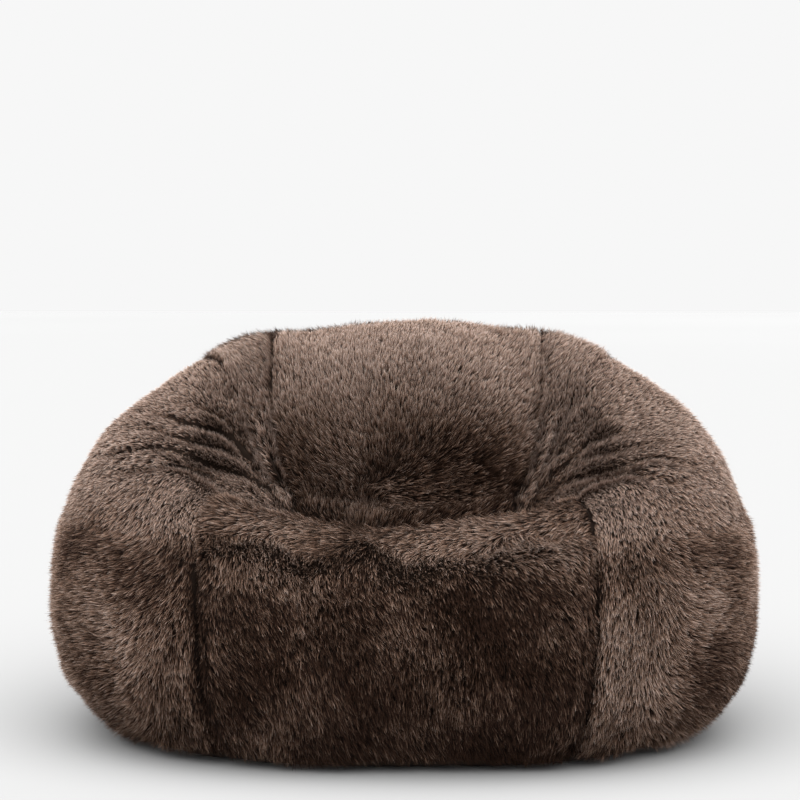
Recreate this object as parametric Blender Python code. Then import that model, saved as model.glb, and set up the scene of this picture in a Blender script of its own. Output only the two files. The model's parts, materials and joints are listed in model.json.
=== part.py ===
"""Bean bag armchair: a faux fur cover of ten panels with a rear zip, an inner liner with its own zip,
and a bead filling.

Metres, +Z up. The chair stands on z = 0 with its front facing -Y and +X on the right of someone
looking at the front. The body is a smooth dome with a seat hollow and a backrest lobe. Every fabric
layer follows that one body at its own depth, and panels meet along shared seam lines.
"""
import math

import bmesh
import bpy
import numpy as np

# Body
HALF_WIDTH = 0.555
HALF_DEPTH = 0.44
WAIST_Z = 0.235
CREST_Z = 0.637
LEAN = 0.15
PLAN_POWER = 2.5
UPPER_POWER = 2.32
LOWER_POWER = 3.6
BASE_BLEND = 0.078
HOLLOW_CENTRE = (0.0, -0.13, 0.62)
HOLLOW_SIZE = (0.365, 0.285, 0.345)
HOLLOW_POWERS = (2.2, 2.2)
HOLLOW_BLEND = 0.13
REST_CENTRE = (0.0, 0.17, 0.375)
REST_SIZE = (0.24, 0.19, 0.26)
REST_POWERS = (2.4, 2.3)
REST_BLEND = 0.06

# Seam corners on the left half; the right half mirrors them
BASE_SEAM_Z = 0.022
ZIP_Z = 0.110
FRONT_FOOT = (-0.288, -0.41, BASE_SEAM_Z)
FRONT_TOP = (-0.288, -0.372, 0.355)
SEAT_CORNER = (-0.190, 0.01, 0.30)
CREST_INNER = (-0.222, 0.20, 0.62)
CREST_OUTER = (-0.350, 0.19, 0.58)
ZIP_CORNER = (-0.40, 0.33, ZIP_Z)
REAR_FOOT = (-0.39, 0.31, BASE_SEAM_Z)

# Seam divisions
N_WIDE = 12
N_FRONT = 7
N_ARM = 8
N_LONG = 13
N_GORE = 3
N_HEM = 3
N_REAR = N_FRONT + N_ARM - N_HEM
N_BACK = N_WIDE + 2 * N_GORE

# Layers, as depths below the cover's outer surface
COVER_DEPTHS = (0.0, 0.012)
LINER_DEPTHS = (0.0225, 0.025)
FILLING_DEPTH = 0.033
SEAM_GAP = 0.0012
TIP_LIMIT = 0.03
WELD_GRID = 1e-5
ZIP_OPENING = 0.009
ZIP_RUN_OUT = 0.05
BASE_INSET = 0.90

# Zip chain, measured across the tape (s), into the body (d) and along the chain (t)
ZIP_LENGTH = 0.44
TAPE_S = (0.0044, 0.014)
TAPE_D = (0.0165, 0.0175)
SPINE_S = (0.0021, 0.0040)
TOOTH_REACH = 0.0016
TEETH_D = (0.0155, 0.0185)
COVER_PITCH = 0.008
LINER_PITCH = 0.011
TAPE_STEP = 0.020
STOP_LENGTH = 0.005
STOP_GAP = 0.0004
STOP_S = 0.0040
STOP_D = (0.0149, 0.0191)
SLIDER_LENGTH = 0.018
SLIDER_S = 0.0072
FLANGE_S = 0.0056
SLIDER_D = (0.0121, 0.0137, 0.0159)
BRIDGE_S = 0.0014
BRIDGE_T = (0.0036, 0.0052)
BRIDGE_D = (0.0073, 0.0087)
PULL_D = (0.0097, 0.0109)
PULL_S = (0.0026, 0.0045)
PULL_T = (-0.0008, 0.0008, 0.0080, 0.0340)
LINER_ZIP_SINK = 0.0110

# Care label, folded into the rear left seam
LABEL_HEIGHT = 0.036
LABEL_THICKNESS = 0.0009
LABEL_REACH = (-0.030, 0.010)
LABEL_STEP = 7

MIRROR = np.array((-1.0, 1.0, 1.0))


# Body surface

def egg(points, centre, size, powers):
    """Distance-like value of a rounded block: negative inside, zero on its surface."""
    plan_power, tall_power = powers
    away = points - np.array(centre)
    ratio = np.abs(away) / np.array(size)
    plan = ratio[:, 0] ** plan_power + ratio[:, 1] ** plan_power
    total = plan ** (tall_power / plan_power) + ratio[:, 2] ** tall_power
    reach = np.maximum(total, 1e-9) ** (1.0 / tall_power)
    return np.linalg.norm(away, axis=1) * (1.0 - 1.0 / reach)


def blend_union(first, second, blend):
    """The smaller of two values with a rounded valley where they meet."""
    mix = np.maximum(blend - np.abs(first - second), 0.0) / blend
    return np.minimum(first, second) - mix * mix * blend * 0.25


def body_value(points):
    """Negative inside the stuffed body, zero on the cover's outer surface."""
    height = points[:, 2]
    rise = np.clip((height - WAIST_Z) / (CREST_Z - WAIST_Z), 0.0, 1.2)
    upright = points.copy()
    upright[:, 1] -= LEAN * rise ** 1.5
    waist = (0.0, 0.0, WAIST_Z)
    upper_size = (HALF_WIDTH, HALF_DEPTH, CREST_Z - WAIST_Z)
    lower_size = (HALF_WIDTH, HALF_DEPTH, WAIST_Z + 0.04)
    upper = egg(upright, waist, upper_size, (PLAN_POWER, UPPER_POWER))
    lower = egg(upright, waist, lower_size, (PLAN_POWER, LOWER_POWER))
    dome = np.where(height > WAIST_Z, upper, lower)
    hollow = egg(points, HOLLOW_CENTRE, HOLLOW_SIZE, HOLLOW_POWERS)
    rest = egg(points, REST_CENTRE, REST_SIZE, REST_POWERS)
    scooped = -blend_union(-dome, hollow, HOLLOW_BLEND)
    padded = blend_union(scooped, rest, REST_BLEND)
    return -blend_union(-padded, height, BASE_BLEND)


def body_slope(points):
    """Gradient of the body value."""
    step = 5e-4
    parts = []
    for offset in np.eye(3) * step:
        parts.append((body_value(points + offset) - body_value(points - offset)) / (2 * step))
    return np.stack(parts, axis=1)


def body_normals(points):
    """Outward unit normals of the body at points on it."""
    slope = body_slope(points)
    return slope / np.linalg.norm(slope, axis=1)[:, None]


def settle(points, level=False):
    """Move points onto the body surface; level keeps their height."""
    moved = np.array(points, dtype=float)
    for _ in range(14):
        slope = body_slope(moved)
        if level:
            slope[:, 2] = 0.0
        steep = np.maximum((slope * slope).sum(axis=1), 0.05)
        moved -= (body_value(moved) / steep)[:, None] * slope
    return moved


# Seams and patches

def smooth_path(controls):
    """A fine curve that passes through the control points."""
    knots = np.array(controls, dtype=float)
    ends = np.vstack([2 * knots[0] - knots[1], knots, 2 * knots[-1] - knots[-2]])
    t = np.linspace(0.0, 1.0, 60, endpoint=False)[:, None]
    pieces = []
    for i in range(len(knots) - 1):
        a, b, c, d = ends[i:i + 4]
        cubic = 2 * b + (c - a) * t + (2 * a - 5 * b + 4 * c - d) * t ** 2
        pieces.append(0.5 * (cubic + (3 * b - 3 * c + d - a) * t ** 3))
    pieces.append(knots[-1:])
    return np.vstack(pieces)


def even_steps(path, count):
    """The path resampled at equal steps."""
    lengths = np.linalg.norm(np.diff(path, axis=0), axis=1)
    along = np.concatenate([[0.0], np.cumsum(lengths)])
    wanted = np.linspace(0.0, along[-1], count + 1)
    return np.stack([np.interp(wanted, along, path[:, k]) for k in range(3)], axis=1)


def seam(controls, count, level=False):
    """A seam line on the body through the control points, in equal steps."""
    path = settle(smooth_path(controls), level)
    return settle(even_steps(path, count), level)


def mirrored(point):
    """The point on the other half of the chair."""
    return (-point[0], point[1], point[2])


def cross_seam(left_end, middle, count, level=False):
    """A seam from a left corner through the middle to its mirror corner, symmetric about x = 0."""
    line = seam([left_end, middle, mirrored(left_end)], count, level)
    return 0.5 * (line + line[::-1] * MIRROR)


def corner(place, level=False):
    """A seam corner brought onto the body, so that every seam that ends there shares it."""
    return tuple(settle([place], level)[0])


def seam_lines():
    """Every seam line of the left half and the ones that cross the middle."""
    front_foot = corner(FRONT_FOOT, level=True)
    rear_foot = corner(REAR_FOOT, level=True)
    zip_corner = corner(ZIP_CORNER, level=True)
    front_top = corner(FRONT_TOP)
    seat_corner = corner(SEAT_CORNER)
    crest_inner = corner(CREST_INNER)
    crest_outer = corner(CREST_OUTER)
    lines = {}
    lines["front_side"] = seam([front_foot, (-0.29, -0.43, 0.17), front_top], N_FRONT)
    lines["arm"] = seam([front_top, (-0.265, -0.17, 0.33), seat_corner], N_ARM)
    lines["rest_side"] = seam([seat_corner, (-0.215, 0.07, 0.45), crest_inner], N_LONG)
    lines["gore_side"] = seam([seat_corner, (-0.268, 0.09, 0.43), crest_outer], N_LONG)
    lines["gore_top"] = seam([crest_outer, crest_inner], N_GORE)
    lines["rear_side"] = seam([crest_outer, (-0.40, 0.32, 0.42), (-0.42, 0.37, 0.25), zip_corner],
                              N_REAR)
    lines["hem_side"] = seam([zip_corner, rear_foot], N_HEM)
    side_foot = [front_foot, (-0.46, -0.27, BASE_SEAM_Z), (-0.52, 0.0, BASE_SEAM_Z),
                 (-0.48, 0.2, BASE_SEAM_Z), rear_foot]
    lines["side_foot"] = seam(side_foot, N_LONG, level=True)
    lines["front_foot"] = cross_seam(front_foot, (0.0, -0.43, BASE_SEAM_Z), N_WIDE, level=True)
    lines["front_top"] = cross_seam(front_top, (0.0, -0.38, 0.355), N_WIDE)
    lines["seat_back"] = cross_seam(seat_corner, (0.0, -0.04, 0.28), N_WIDE)
    lines["crest"] = cross_seam(crest_inner, (0.0, 0.22, 0.637), N_WIDE)
    lines["zip"] = cross_seam(zip_corner, (0.0, 0.44, ZIP_Z), N_BACK, level=True)
    lines["rear_foot"] = cross_seam(rear_foot, (0.0, 0.42, BASE_SEAM_Z), N_BACK, level=True)
    return lines


def fill_between(bottom, top, left, right):
    """A grid that blends four border lines, left and right running from bottom to top."""
    u = np.linspace(0.0, 1.0, len(bottom))[:, None, None]
    v = np.linspace(0.0, 1.0, len(left))[None, :, None]
    grid = (1 - v) * bottom[:, None] + v * top[:, None] + (1 - u) * left[None] + u * right[None]
    corners = (1 - u) * ((1 - v) * bottom[0] + v * top[0]) + u * ((1 - v) * bottom[-1] + v * top[-1])
    return grid - corners


def patch(bottom, top, left, right):
    """A fabric panel's grid on the body, evenly spread between its four seams."""
    grid = fill_between(bottom, top, left, right)
    shape = grid[1:-1, 1:-1].shape
    for _ in range(12):
        grid[1:-1, 1:-1] = settle(grid[1:-1, 1:-1].reshape(-1, 3)).reshape(shape)
        across = grid[:-2, 1:-1] + grid[2:, 1:-1]
        along = grid[1:-1, :-2] + grid[1:-1, 2:]
        grid[1:-1, 1:-1] = (across + along) / 4
    grid[1:-1, 1:-1] = settle(grid[1:-1, 1:-1].reshape(-1, 3)).reshape(shape)
    return grid


def body_patches():
    """The nine shaped panels as point grids, keyed by panel name."""
    line = seam_lines()
    other = {name: points * MIRROR for name, points in line.items()}
    crest = np.vstack([line["gore_top"], line["crest"][1:], other["gore_top"][::-1][1:]])
    tip = np.repeat(line["gore_side"][:1], N_GORE + 1, axis=0)
    side_front = np.vstack([line["front_side"], line["arm"][1:]])
    side_rear = np.vstack([line["rear_side"], line["hem_side"][1:]])[::-1]
    gore = patch(tip, line["gore_top"], line["gore_side"], line["rest_side"])
    side = patch(line["side_foot"], line["gore_side"], side_front, side_rear)
    patches = {}
    patches["front_panel"] = patch(line["front_foot"], line["front_top"],
                                   line["front_side"], other["front_side"])
    patches["seat_panel"] = patch(line["front_top"], line["seat_back"], line["arm"], other["arm"])
    patches["backrest_panel"] = patch(line["seat_back"], line["crest"],
                                      line["rest_side"], other["rest_side"])
    patches["rear_panel"] = patch(line["zip"], crest,
                                  line["rear_side"][::-1], other["rear_side"][::-1])
    patches["rear_hem_panel"] = patch(line["rear_foot"], line["zip"],
                                      line["hem_side"][::-1], other["hem_side"][::-1])
    patches["left_gusset"] = gore
    patches["right_gusset"] = gore * MIRROR
    patches["left_side_panel"] = side
    patches["right_side_panel"] = side * MIRROR
    return patches


# Surfaces made of patches

def split_ring(points, ring):
    """A quad as two triangles across its shorter diagonal, so that every layer folds alike."""
    if len(ring) != 4:
        return [ring] if len(ring) > 2 else []
    a, b, c, d = ring
    if np.linalg.norm(points[a] - points[c]) <= np.linalg.norm(points[b] - points[d]):
        return [[a, b, c], [a, c, d]]
    return [[a, b, d], [b, c, d]]


def shared_index(points):
    """For each point, the number of the first point that lies in the same place."""
    keys = {}
    return [keys.setdefault(tuple(np.round(point / WELD_GRID).astype(int)), index)
            for index, point in enumerate(points)]


def weld(points, faces):
    """Merge points that lie together, drop collapsed faces and face everything out of the body."""
    first = shared_index(points)
    used = sorted(set(first))
    place = {index: order for order, index in enumerate(used)}
    kept = points[used]
    clean = []
    for face in faces:
        ring = []
        for corner in face:
            index = place[first[corner]]
            if index not in ring:
                ring.append(index)
        clean += split_ring(kept, ring)
    normals = body_normals(kept)
    for ring in clean:
        a, b, c = kept[ring[0]], kept[ring[1]], kept[ring[2]]
        outward = normals[ring].mean(axis=0)
        if np.dot(np.cross(b - a, c - a), outward) < 0:
            ring.reverse()
    return kept, clean, normals


def grid_surface(grids):
    """One welded surface from several patch grids."""
    points = []
    faces = []
    for grid in grids:
        rows, columns = grid.shape[:2]
        start = sum(len(block) for block in points)
        points.append(grid.reshape(-1, 3))
        for i in range(rows - 1):
            for j in range(columns - 1):
                corner = start + i * columns + j
                faces.append([corner, corner + columns, corner + columns + 1, corner + 1])
    return weld(np.vstack(points), faces)


def base_surface(patches):
    """The underside: a ring from the base seam to the flat, and the flat itself."""
    front = patches["front_panel"][:, 0]
    right = patches["right_side_panel"][:, 0]
    rear = patches["rear_hem_panel"][:, 0]
    left = patches["left_side_panel"][:, 0]
    rim = np.vstack([front[:-1], right[:-1], rear[::-1][:-1], left[::-1][:-1]])
    flat = rim * np.array((BASE_INSET, BASE_INSET, 0.0))
    count = len(rim)
    faces = []
    for i in range(count):
        following = (i + 1) % count
        faces.append([i, following, count + following, count + i])
    faces.append(list(range(count, 2 * count)))
    points, faces, normals = weld(np.vstack([rim, flat]), faces)
    normals[count:] = (0.0, 0.0, -1.0)
    return points, faces, normals


def edge_uses(faces):
    """Every use of each edge by a face, with its direction in that face."""
    uses = {}
    for ring in faces:
        for a, b in zip(ring, ring[1:] + ring[:1]):
            key = (min(a, b), max(a, b))
            uses.setdefault(key, []).append((a, b))
    return uses


def rim_edges(faces):
    """Directed edges on the border of an open surface."""
    return [pairs[0] for pairs in edge_uses(faces).values() if len(pairs) == 1]


def inward_steps(points, normals, border):
    """For each border point, the move along the fabric that draws both its edges back by one."""
    sides = {}
    for a, b in border:
        along = points[b] - points[a]
        along /= np.linalg.norm(along)
        for index in (a, b):
            inward = np.cross(normals[index], along)
            sides.setdefault(index, []).append(inward / np.linalg.norm(inward))
    steps = {}
    for index, (first, second) in sides.items():
        closing = max(1.0 + np.dot(first, second), TIP_LIMIT)
        steps[index] = (first + second) / closing
    return steps


def shell(surface, depths, gap_at):
    """A closed fabric panel between two depths, drawn back from its seams by gap_at(point)."""
    points, faces, normals = surface
    border = rim_edges(faces)
    outline = points.copy()
    for index, step in inward_steps(points, normals, border).items():
        outline[index] += step * gap_at(points[index])
    outer = outline - normals * depths[0]
    inner = outline - normals * depths[1]
    count = len(points)
    solid_faces = [list(ring) for ring in faces]
    solid_faces += [[index + count for index in reversed(ring)] for ring in faces]
    solid_faces += [[b, a, a + count, b + count] for a, b in border]
    return np.vstack([outer, inner]), solid_faces


def seam_gap(point):
    """Half of the gap at a sewn seam."""
    return SEAM_GAP


def zip_gap(point):
    """Half of the gap at the zip, which closes to a plain seam beyond the zip's ends."""
    on_zip_line = abs(point[2] - ZIP_Z) < 0.03 and point[1] > 0.3
    inside = abs(point[0]) < 0.5 * ZIP_LENGTH + ZIP_RUN_OUT
    return ZIP_OPENING if on_zip_line and inside else SEAM_GAP


# Materials

def plain_material(name, colour, roughness, metallic=0.0):
    """A Principled material with one colour."""
    material = bpy.data.materials.new(name)
    material.use_nodes = True
    shader = material.node_tree.nodes["Principled BSDF"]
    shader.inputs["Base Color"].default_value = (*colour, 1.0)
    shader.inputs["Roughness"].default_value = roughness
    shader.inputs["Metallic"].default_value = metallic
    return material


def faux_fur_material():
    """Brown long-pile fur fabric."""
    return plain_material("faux_fur", (0.060, 0.040, 0.030), 0.90)


def base_fabric_material():
    """Dark woven polyester under the chair."""
    return plain_material("base_fabric", (0.020, 0.016, 0.014), 0.85)


def liner_fabric_material():
    """Dark taupe woven lining fabric."""
    return plain_material("liner_fabric", (0.11, 0.10, 0.09), 0.80)


def bead_material():
    """White expanded polystyrene beads."""
    return plain_material("polystyrene_beads", (0.86, 0.86, 0.84), 0.70)


def tape_material():
    """Dark brown zip tape."""
    return plain_material("zip_tape", (0.030, 0.022, 0.018), 0.80)


def teeth_material():
    """Moulded zip teeth."""
    return plain_material("zip_teeth", (0.035, 0.028, 0.024), 0.40)


def slider_material():
    """Dark plated zip metal."""
    return plain_material("zip_metal", (0.22, 0.20, 0.19), 0.30, 1.0)


def label_material():
    """White satin label."""
    return plain_material("label_satin", (0.80, 0.79, 0.76), 0.55)


# Objects

def face_outward(mesh):
    """Make every face of a closed body face out of it."""
    body = bmesh.new()
    body.from_mesh(mesh)
    bmesh.ops.recalc_face_normals(body, faces=body.faces)
    body.to_mesh(mesh)
    body.free()


def add_object(name, points, faces, material, origin=(0.0, 0.0, 0.0), smooth=False):
    """A named mesh object whose origin is at the given place."""
    mesh = bpy.data.meshes.new(name)
    local = np.array(points) - np.array(origin)
    mesh.from_pydata(local.tolist(), [], [list(map(int, ring)) for ring in faces])
    mesh.materials.append(material)
    face_outward(mesh)
    if smooth:
        mesh.polygons.foreach_set("use_smooth", [True] * len(mesh.polygons))
    mesh.update()
    made = bpy.data.objects.new(name, mesh)
    made.location = origin
    bpy.context.scene.collection.objects.link(made)
    return made


def add_shell(name, surface, depths, gap_at, material):
    """A named fabric panel."""
    points, faces = shell(surface, depths, gap_at)
    return add_object(name, points, faces, material, smooth=True)


def add_cover(patches):
    """The ten panels of the removable cover."""
    fur = faux_fur_material()
    for name, grid in patches.items():
        gap_at = zip_gap if name in ("rear_panel", "rear_hem_panel") else seam_gap
        add_shell(name, grid_surface([grid]), COVER_DEPTHS, gap_at, fur)
    add_shell("base_panel", base_surface(patches), COVER_DEPTHS, seam_gap, base_fabric_material())


def add_liner(patches):
    """The inner bag: a centre strip, two sides, two rear pieces and a base."""
    fabric = liner_fabric_material()
    centre = ("front_panel", "seat_panel", "backrest_panel", "left_gusset", "right_gusset")
    groups = {
        "liner_centre_strip": [patches[name] for name in centre],
        "liner_left_side": [patches["left_side_panel"]],
        "liner_right_side": [patches["right_side_panel"]],
        "liner_rear_upper": [patches["rear_panel"]],
        "liner_rear_lower": [patches["rear_hem_panel"]],
    }
    for name, grids in groups.items():
        gap_at = zip_gap if "rear" in name else seam_gap
        add_shell(name, grid_surface(grids), LINER_DEPTHS, gap_at, fabric)
    add_shell("liner_base", base_surface(patches), LINER_DEPTHS, seam_gap, fabric)


def add_filling(patches):
    """The beads as one body inside the liner."""
    points, faces, normals = grid_surface(list(patches.values()))
    base_points, base_faces, base_normals = base_surface(patches)
    start = len(points)
    faces = faces + [[index + start for index in ring] for ring in base_faces]
    merged = np.vstack([points, base_points])
    all_normals = np.vstack([normals, base_normals])
    first = shared_index(merged)
    used = sorted({first[index] for ring in faces for index in ring})
    place = {index: order for order, index in enumerate(used)}
    faces = [[place[first[index]] for index in ring] for ring in faces]
    inner = merged[used] - all_normals[used] * FILLING_DEPTH
    add_object("bead_filling", inner, faces, bead_material(), smooth=True)


# Zip

class ZipTrack:
    """The zip's arc: a circle about a vertical axis, fitted to the rear of the body."""

    def __init__(self, sink=0.0):
        half = 0.5 * ZIP_LENGTH
        fit = settle([(0.0, HALF_DEPTH, ZIP_Z), (half, HALF_DEPTH, ZIP_Z)], level=True)
        bow = fit[0][1] - fit[1][1]
        self.radius = (fit[1][0] ** 2 + bow * bow) / (2 * bow)
        self.centre_y = fit[0][1] - self.radius
        normal = body_normals(fit[:1])[0]
        self.normal = (float(normal[1]), float(normal[2]))
        self.sink = sink

    def point(self, s, d, t):
        """World position at s across the tape (up), d into the body and t along the chain."""
        out, up = self.normal
        depth = d + self.sink
        radius = self.radius - depth * out - s * up
        height = ZIP_Z - depth * up + s * out
        angle = t / self.radius
        return (radius * math.sin(angle), self.centre_y + radius * math.cos(angle), height)


def swept_bar(track, s_range, d_range, stations):
    """A bar of rectangular section that follows the chain through the given stations."""
    section = [(s_range[0], d_range[0]), (s_range[1], d_range[0]),
               (s_range[1], d_range[1]), (s_range[0], d_range[1])]
    points = [track.point(s, d, t) for t in stations for s, d in section]
    faces = [[0, 1, 2, 3]]
    for i in range(len(stations) - 1):
        for k in range(4):
            a = 4 * i + k
            b = 4 * i + (k + 1) % 4
            faces.append([b, a, a + 4, b + 4])
    last = 4 * (len(stations) - 1)
    faces.append([last + 3, last + 2, last + 1, last])
    return points, faces


def chain_comb(track, side, pitch):
    """One row of pointed teeth on its spine; side is +1 above the chain line and -1 below it."""
    count = int(ZIP_LENGTH / pitch)
    start = -0.5 * count * pitch
    back = side * SPINE_S[1]
    root = side * SPINE_S[0]
    tip = -side * TOOTH_REACH
    edge = []
    for k in range(2 * count + 1):
        at_tip = (k % 2 == 1) == (side > 0)
        edge.append((tip if at_tip else root, start + 0.5 * k * pitch))
    points = []
    for s, t in edge:
        points += [track.point(s, TEETH_D[0], t), track.point(s, TEETH_D[1], t),
                   track.point(back, TEETH_D[0], t), track.point(back, TEETH_D[1], t)]
    faces = [[0, 1, 3, 2]]
    for i in range(len(edge) - 1):
        a = 4 * i
        b = a + 4
        faces += [[a, b, b + 1, a + 1], [a + 2, b + 2, b, a],
                  [a + 1, b + 1, b + 3, a + 3], [a + 3, b + 3, b + 2, a + 2]]
    last = 4 * (len(edge) - 1)
    faces.append([last + 2, last + 3, last + 1, last])
    return points, faces


def slider_body(track, t_middle, with_bridge):
    """The slider: a channel over the teeth, with a bridge for the pull tab if it has one."""
    half = 0.5 * SLIDER_LENGTH
    plate, under, lip = SLIDER_D
    profile = [(-SLIDER_S, plate), (SLIDER_S, plate), (SLIDER_S, lip), (FLANGE_S, lip),
               (FLANGE_S, under), (-FLANGE_S, under), (-FLANGE_S, lip), (-SLIDER_S, lip)]
    points = [track.point(s, d, t_middle + t) for t in (-half, half) for s, d in profile]
    count = len(profile)
    faces = [list(range(count)), list(range(2 * count - 1, count - 1, -1))]
    for k in range(1, count):
        following = (k + 1) % count
        faces.append([following, k, k + count, following + count])
    if not with_bridge:
        faces.append([1, 0, count, count + 1])
        return points, faces
    inner, outer = BRIDGE_T
    low, high = BRIDGE_D[1], BRIDGE_D[0]
    lanes = [-outer, -inner, inner, outer]
    foot = len(points)
    for s in (-BRIDGE_S, BRIDGE_S):
        points += [track.point(s, plate, t_middle + t) for t in lanes]
    under_bar = len(points)
    for s in (-BRIDGE_S, BRIDGE_S):
        points += [track.point(s, low, t_middle + t) for t in (-inner, inner)]
    top_bar = len(points)
    for s in (-BRIDGE_S, BRIDGE_S):
        points += [track.point(s, high, t_middle + t) for t in (-outer, outer)]
    l0, l1, l2, l3 = range(foot, foot + 4)
    r0, r1, r2, r3 = range(foot + 4, foot + 8)
    lu1, lu2, ru1, ru2 = range(under_bar, under_bar + 4)
    lt0, lt3, rt0, rt3 = range(top_bar, top_bar + 4)
    faces += [[0, l0, l1, l2, l3, count], [1, count + 1, r3, r2, r1, r0],
              [0, 1, r0, l0], [count, l3, r3, count + 1], [l1, r1, r2, l2]]
    faces += [[l0, r0, rt0, lt0], [l3, lt3, rt3, r3], [lt0, rt0, rt3, lt3]]
    faces += [[l1, lu1, ru1, r1], [l2, r2, ru2, lu2], [lu1, lu2, ru2, ru1]]
    faces += [[l0, lt0, lt3, l3, l2, lu2, lu1, l1], [r0, r1, ru1, ru2, r2, r3, rt3, rt0]]
    return points, faces


def pull_tab(track, t_middle):
    """A flat tab with an eye that rides on the slider's bridge."""
    eye_s, edge_s = PULL_S
    pin_end, eye_start, eye_end, tip = PULL_T
    points = []
    for d in PULL_D:
        for s, t in ((edge_s, pin_end), (edge_s, tip - edge_s), (0.5 * edge_s, tip),
                     (-0.5 * edge_s, tip), (-edge_s, tip - edge_s), (-edge_s, pin_end)):
            points.append(track.point(s, d, t_middle + t))
        for s, t in ((eye_s, eye_start), (eye_s, eye_end), (-eye_s, eye_end), (-eye_s, eye_start)):
            points.append(track.point(s, d, t_middle + t))
    flat = [[0, 6, 9, 5], [0, 1, 7, 6], [4, 5, 9, 8], [1, 2, 3, 4, 8, 7]]
    faces = [list(reversed(ring)) for ring in flat]
    faces += [[index + 10 for index in ring] for ring in flat]
    for a, b in ((0, 1), (1, 2), (2, 3), (3, 4), (4, 5), (5, 0)):
        faces.append([a, b, b + 10, a + 10])
    for a, b in ((6, 7), (7, 8), (8, 9), (9, 6)):
        faces.append([b, a, a + 10, b + 10])
    return points, faces


def zip_stations():
    """Evenly spaced places along the tape."""
    count = int(round(ZIP_LENGTH / TAPE_STEP))
    return list(np.linspace(-0.5 * ZIP_LENGTH, 0.5 * ZIP_LENGTH, count + 1))


def add_zip(prefix, sink, pitch, with_pull):
    """One whole zip: tapes, teeth, stops and slider; the pull tab only where there is one."""
    track = ZipTrack(sink)
    tape = tape_material()
    teeth = teeth_material()
    metal = slider_material()
    half_chain = 0.5 * int(ZIP_LENGTH / pitch) * pitch
    for side, word in ((1, "upper"), (-1, "lower")):
        s_range = sorted((side * TAPE_S[0], side * TAPE_S[1]))
        points, faces = swept_bar(track, s_range, TAPE_D, zip_stations())
        add_object(prefix + "_tape_" + word, points, faces, tape)
        points, faces = chain_comb(track, side, pitch)
        add_object(prefix + "_teeth_" + word, points, faces, teeth)
    for end, word in ((1, "top_stop"), (-1, "bottom_stop")):
        near = end * (half_chain + STOP_GAP)
        far = end * (half_chain + STOP_GAP + STOP_LENGTH)
        points, faces = swept_bar(track, (-STOP_S, STOP_S), STOP_D, sorted((near, far)))
        add_object(prefix + "_" + word, points, faces, metal)
    rest_t = half_chain - 0.5 * SLIDER_LENGTH
    points, faces = slider_body(track, rest_t, with_pull)
    add_object(prefix + "_slider", points, faces, metal,
               origin=(0.0, track.centre_y, 0.0))
    if with_pull:
        points, faces = pull_tab(track, rest_t)
        pin = track.point(0.0, 0.5 * (PULL_D[0] + PULL_D[1]), rest_t)
        add_object(prefix + "_pull_tab", points, faces, metal, origin=pin)


# Label

def add_care_label(patches):
    """A blank label folded into the seam between the left side and the rear panel."""
    line = patches["rear_panel"][0][::-1]
    low, high = line[LABEL_STEP + 1], line[LABEL_STEP]
    up = (high - low) / np.linalg.norm(high - low)
    middle = 0.5 * (low + high)
    out = body_normals(middle[None])[0]
    out -= up * np.dot(out, up)
    out /= np.linalg.norm(out)
    flat = np.cross(up, out)
    points = []
    for reach in LABEL_REACH:
        for rise in (-0.5, 0.5):
            for width in (-0.5, 0.5):
                offset = up * rise * LABEL_HEIGHT + flat * width * LABEL_THICKNESS
                points.append(middle + offset - out * reach)
    faces = [[0, 1, 3, 2], [4, 6, 7, 5], [0, 4, 5, 1], [2, 3, 7, 6], [0, 2, 6, 4], [1, 5, 7, 3]]
    add_object("care_label", points, faces, label_material())


def centre_over_origin():
    """Move the whole chair along Y so that its overall box is centred on the origin."""
    places = [(made.location.y + vertex.co.y) for made in bpy.data.objects
              for vertex in made.data.vertices]
    middle = 0.5 * (min(places) + max(places))
    for made in bpy.data.objects:
        made.location.y -= middle


def clear_scene():
    """Start from an empty scene."""
    for existing in list(bpy.data.objects):
        bpy.data.objects.remove(existing, do_unlink=True)


def build():
    """Make every piece of the chair."""
    clear_scene()
    patches = body_patches()
    add_cover(patches)
    add_liner(patches)
    add_filling(patches)
    add_zip("cover_zip", 0.0, COVER_PITCH, with_pull=True)
    add_zip("liner_zip", LINER_ZIP_SINK, LINER_PITCH, with_pull=False)
    add_care_label(patches)
    centre_over_origin()


build()
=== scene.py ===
"""Looks for the faux fur bean bag chair: sewn skins with arm folds, long pile, zips, liner and beads."""

import json
import math

import bmesh
import bpy
import numpy as np
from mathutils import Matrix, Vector, noise
from mathutils.bvhtree import BVHTree
from mathutils.kdtree import KDTree

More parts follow.
